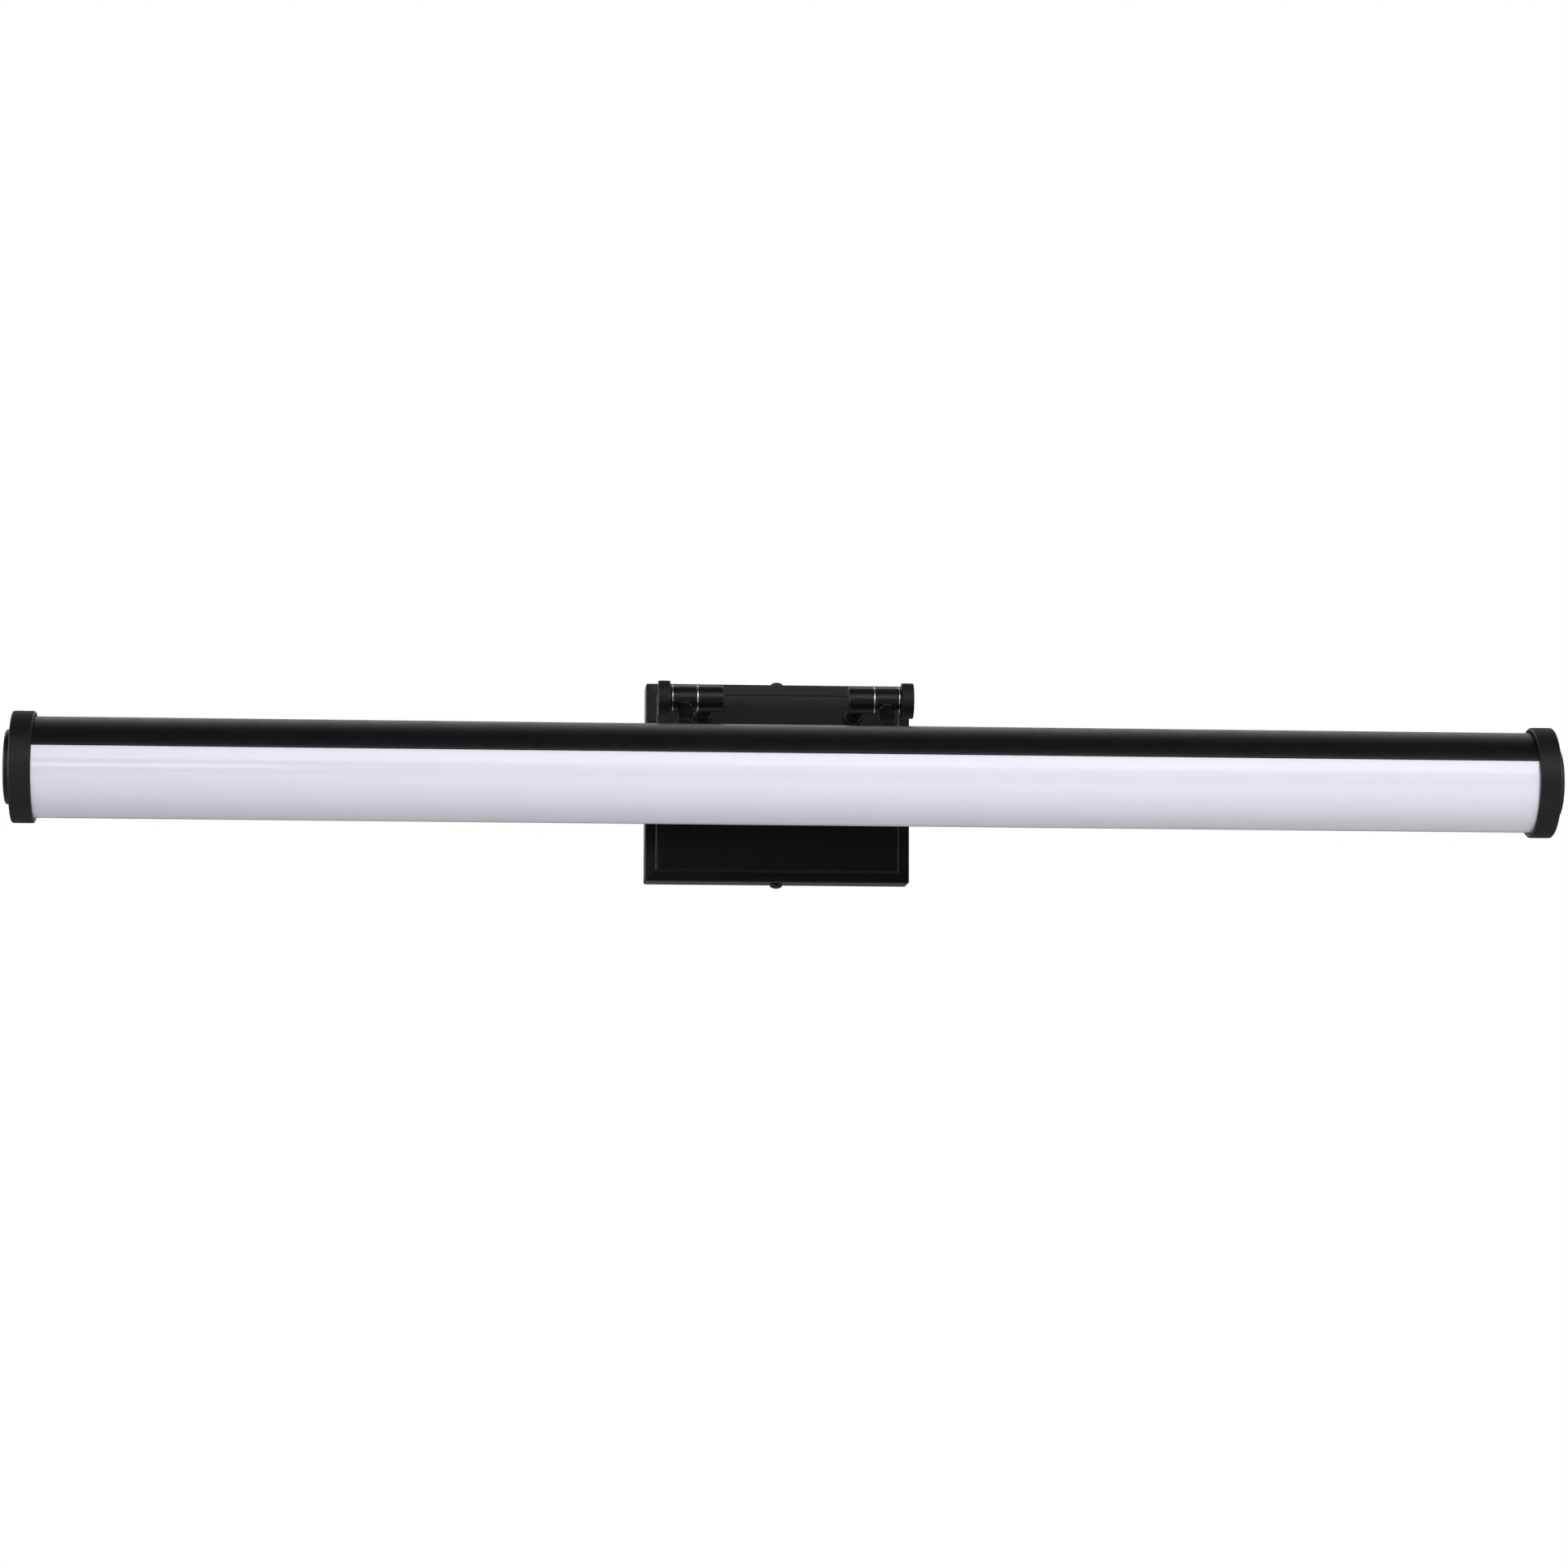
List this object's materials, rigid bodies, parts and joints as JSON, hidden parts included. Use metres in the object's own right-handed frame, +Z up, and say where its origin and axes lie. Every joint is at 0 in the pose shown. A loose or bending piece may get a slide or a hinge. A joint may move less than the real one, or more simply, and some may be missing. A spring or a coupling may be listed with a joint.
{
  "type": "picture light",
  "caption": "Wall-mounted LED picture light: a long round lamp tube with knurled end rings tilts on two short arms clamped by knurled knobs, over a stepped rectangular canopy.",
  "frame": {"origin": "centre of the mounting bracket's back face, on the wall plane at the middle of the canopy", "axes": "+X along the lamp tube to the viewer's right, +Y into the wall, +Z up; the lamp stands off towards -Y"},
  "size_m": [0.917, 0.1688, 0.1276],
  "materials": {
    "black_coat": "satin black powder coat",
    "black_knurl": "satin black coat over a fine diamond knurl",
    "opal_diffuser": "satin opal acrylic",
    "bright_steel": "bright turned steel",
    "zinc_plate": "zinc plated steel",
    "plain_aluminium": "mill finish",
    "white_board": "white solder mask",
    "green_board": "green solder mask",
    "white_plastic": "moulded, fine texture",
    "grey_foam": "soft, matt",
    "ground_green": "green passivated screw",
    "white_lead": "smooth wire insulation"
  },
  "bodies": {
    "wall_side": {"mounting_bracket": "zinc_plate", "ground_screw": "ground_green", "canopy": "black_coat", "canopy_screw_top": "black_coat", "canopy_screw_bottom": "black_coat", "driver_case": "white_plastic", "driver_lid": "white_plastic", "driver_board": "green_board", "driver_screw_left": "zinc_plate", "driver_screw_right": "zinc_plate", "driver_pad": "grey_foam", "terminal_block": "white_plastic", "terminal_pad": "grey_foam", "input_lead": "white_lead", "driver_lead": "white_lead", "rear_flange_left": "black_coat", "rear_arm_left": "black_coat", "rear_barrel_left": "black_coat", "rear_nut_left": "zinc_plate", "rear_lock_washer_left": "zinc_plate", "axle_left": "bright_steel", "friction_washer_left": "bright_steel", "rear_flange_right": "black_coat", "rear_arm_right": "black_coat", "rear_barrel_right": "black_coat", "rear_nut_right": "zinc_plate", "rear_lock_washer_right": "zinc_plate", "axle_right": "bright_steel", "friction_washer_right": "bright_steel"},
    "lamp": {"front_barrel_left": "black_coat", "front_arm_left": "black_coat", "arm_foot_left": "black_coat", "arm_nut_left": "zinc_plate", "front_barrel_right": "black_coat", "front_arm_right": "black_coat", "arm_foot_right": "black_coat", "arm_nut_right": "zinc_plate", "housing": "black_coat", "led_tray": "plain_aluminium", "led_board_left": "white_board", "led_board_right": "white_board", "diffuser": "opal_diffuser", "end_ring_left": "black_knurl", "end_disc_left": "black_coat", "end_plate_left": "white_plastic", "end_gasket_left": "grey_foam", "end_screw_left_front": "zinc_plate", "end_screw_left_rear": "zinc_plate", "end_ring_right": "black_knurl", "end_disc_right": "black_coat", "end_plate_right": "white_plastic", "end_gasket_right": "grey_foam", "end_screw_right_front": "zinc_plate", "end_screw_right_rear": "zinc_plate", "lamp_lead": "white_lead", "board_connector": "white_plastic"},
    "left_clamp": {"knob_washer_left": "bright_steel"},
    "left_knob": {"knob_left": "black_knurl"},
    "right_clamp": {"knob_washer_right": "bright_steel"},
    "right_knob": {"knob_right": "black_knurl"}
  },
  "joints": [
    {"name": "lamp_tilt", "type": "hinge", "parent": "wall_side", "child": "lamp", "pos_m": [0, -0.1, 0.042], "axis": [1, 0, 0], "range_deg": [-144, 60]},
    {"name": "left_knob_travel", "type": "slide", "parent": "wall_side", "child": "left_clamp", "axis": [-1, 0, 0], "range_m": [0, 0.001]},
    {"name": "left_knob_turn", "type": "hinge", "parent": "left_clamp", "child": "left_knob", "pos_m": [-0.0724, -0.1, 0.042], "axis": [-1, 0, 0], "range_deg": [0, 360]},
    {"name": "right_knob_travel", "type": "slide", "parent": "wall_side", "child": "right_clamp", "axis": [1, 0, 0], "range_m": [0, 0.001]},
    {"name": "right_knob_turn", "type": "hinge", "parent": "right_clamp", "child": "right_knob", "pos_m": [0.0724, -0.1, 0.042], "axis": [1, 0, 0], "range_deg": [0, 360]}
  ],
  "couplings": [
    {"joint": "left_knob_turn", "follows": "left_knob_travel", "rad_per_m": 6283.2},
    {"joint": "right_knob_turn", "follows": "right_knob_travel", "rad_per_m": 6283.2}
  ]
}
